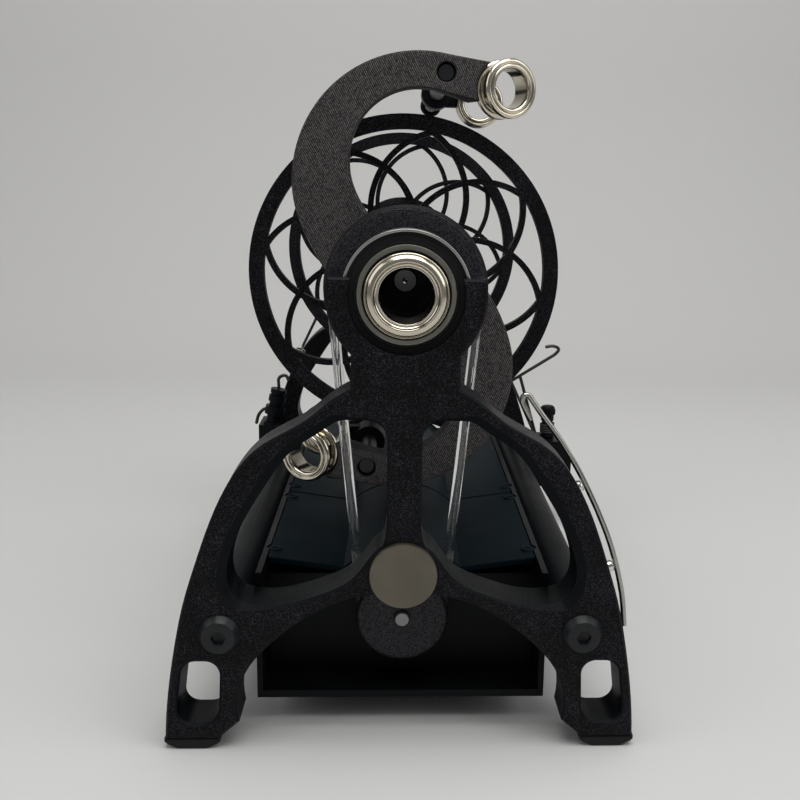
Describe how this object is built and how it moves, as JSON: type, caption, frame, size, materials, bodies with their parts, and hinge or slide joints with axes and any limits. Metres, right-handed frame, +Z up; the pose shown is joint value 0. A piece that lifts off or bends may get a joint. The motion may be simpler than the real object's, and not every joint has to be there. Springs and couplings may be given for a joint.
{
  "type": "electric yarn spinner",
  "caption": "Motor-driven flyer spinner for yarn: A-shaped end plates on rails, S-shaped flyer with guide rings, openwork bobbin, cord brake and a motor in the base.",
  "frame": {"origin": "centre of the orifice on the spindle axis, in the front face of the front maiden", "axes": "+X to the right seen from the front, +Y back along the spindle, +Z up"},
  "size_m": [0.1591, 0.2422, 0.2108],
  "materials": {
    "printed_black": "3-D printed black plastic with fine print lines and a sandy sparkle",
    "smooth_black": "smooth satin black plastic",
    "cover_grey": "smooth dark blue-grey plastic",
    "rail_black": "satin black tube",
    "screw_black": "black screw",
    "nickel": "polished warm nickel",
    "bearing_steel": "ground bearing steel",
    "seal_black": "black rubber seal",
    "foot_rubber": "black rubber",
    "rod_steel": "dark steel rod",
    "spindle_steel": "ground steel",
    "belt_clear": "clear round belt",
    "motor_steel": "bright can",
    "motor_plastic": "black end cap",
    "board_green": "circuit board",
    "dial_metal": "potentiometer",
    "knob_black": "fluted knob",
    "rocker_black": "switch",
    "bush_tan": "acetal bush",
    "magnet_nickel": "matt nickel magnet",
    "spring_steel": "bright spring wire",
    "wire_dark": "dark wire",
    "cord_grey": "braided cord"
  },
  "bodies": {
    "stand": {"front_maiden": "printed_black", "rear_maiden": "printed_black", "rail_left": "rail_black", "rail_right": "rail_black", "rail_screws": "screw_black", "foot_pads": "foot_rubber", "front_bearing_outer": "bearing_steel", "bearing_balls": "bearing_steel", "rear_bearing_outer": "bearing_steel", "bearing_seals": "seal_black", "base_tray": "smooth_black", "tray_walls": "smooth_black", "front_cover": "cover_grey", "rear_cover": "cover_grey", "base_screws": "screw_black", "motor_plate": "smooth_black", "motor_can": "motor_steel", "motor_cap": "motor_plastic", "drive_belt": "belt_clear", "controller_board": "board_green", "speed_dial": "dial_metal", "power_switch": "rocker_black", "direction_switch": "rocker_black", "power_inlet": "rocker_black", "brake_cord": "cord_grey", "brake_spring": "spring_steel", "anchor_post": "printed_black", "cup_hooks": "wire_dark", "tension_block": "printed_black", "guide_wires": "wire_dark", "magnets": "magnet_nickel"},
    "flyer": {"orifice_insert": "nickel", "flyer_hub": "printed_black", "hub_yoke": "printed_black", "flyer_pulley": "printed_black", "flyer_plate": "printed_black", "fixed_rings": "nickel", "flyer_rods": "rod_steel", "rod_caps": "smooth_black", "spindle": "spindle_steel", "thrust_collar": "smooth_black", "rear_collar": "smooth_black", "front_bearing_inner": "bearing_steel", "rear_bearing_inner": "bearing_steel"},
    "upper_slider": {"slider_upper": "smooth_black", "slider_upper_ring": "nickel"},
    "lower_slider": {"slider_lower": "smooth_black", "slider_lower_ring": "nickel"},
    "bobbin": {"bobbin_front_disc": "printed_black", "bobbin_core": "smooth_black", "bobbin_rear_disc": "printed_black", "brake_whorl": "printed_black", "bobbin_bushes": "bush_tan"},
    "motor_rotor": {"motor_shaft": "spindle_steel", "motor_pulley": "printed_black"},
    "speed_knob": {"speed_knob": "knob_black"},
    "power_rocker": {"power_rocker": "rocker_black"},
    "direction_rocker": {"direction_rocker": "rocker_black"},
    "tension_knob": {"tension_knob": "smooth_black"},
    "threading_hook": {"threading_hook": "spring_steel"}
  },
  "joints": [
    {"name": "flyer_spin", "type": "hinge", "parent": "stand", "child": "flyer", "pos_m": [0, 0, 0], "axis": [0, 1, 0], "continuous": true},
    {"name": "bobbin_spin", "type": "hinge", "parent": "flyer", "child": "bobbin", "pos_m": [0, 0.14, 0], "axis": [0, 1, 0], "continuous": true},
    {"name": "motor_spin", "type": "hinge", "parent": "stand", "child": "motor_rotor", "pos_m": [0, 0.025, -0.105], "axis": [0, 1, 0], "continuous": true},
    {"name": "upper_slider_slide", "type": "slide", "parent": "flyer", "child": "upper_slider", "axis": [0, 1, 0], "range_m": [-0.067, 0.0545]},
    {"name": "lower_slider_slide", "type": "slide", "parent": "flyer", "child": "lower_slider", "axis": [0, 1, 0], "range_m": [-0.025, 0.0965]},
    {"name": "speed_knob_turn", "type": "hinge", "parent": "stand", "child": "speed_knob", "pos_m": [0.025, 0.2262, -0.113], "axis": [0, -1, 0], "range_deg": [0, 300]},
    {"name": "power_rocker_tilt", "type": "hinge", "parent": "stand", "child": "power_rocker", "pos_m": [-0.028, 0.2222, -0.113], "axis": [-1, 0, 0], "range_deg": [0, 16]},
    {"name": "direction_rocker_tilt", "type": "hinge", "parent": "stand", "child": "direction_rocker", "pos_m": [-0.006, 0.2222, -0.113], "axis": [-1, 0, 0], "range_deg": [0, 16]},
    {"name": "tension_knob_turn", "type": "hinge", "parent": "stand", "child": "tension_knob", "pos_m": [0.0745, 0.21275, -0.094], "axis": [0, 0, 1], "range_deg": [-180, 180]},
    {"name": "threading_hook_lift_off", "type": "slide", "parent": "stand", "child": "threading_hook", "axis": [1, 0, 0], "range_m": [0, 0.04]}
  ],
  "couplings": [
    {"joint": "motor_spin", "follows": "flyer_spin", "ratio": 1.7656}
  ]
}
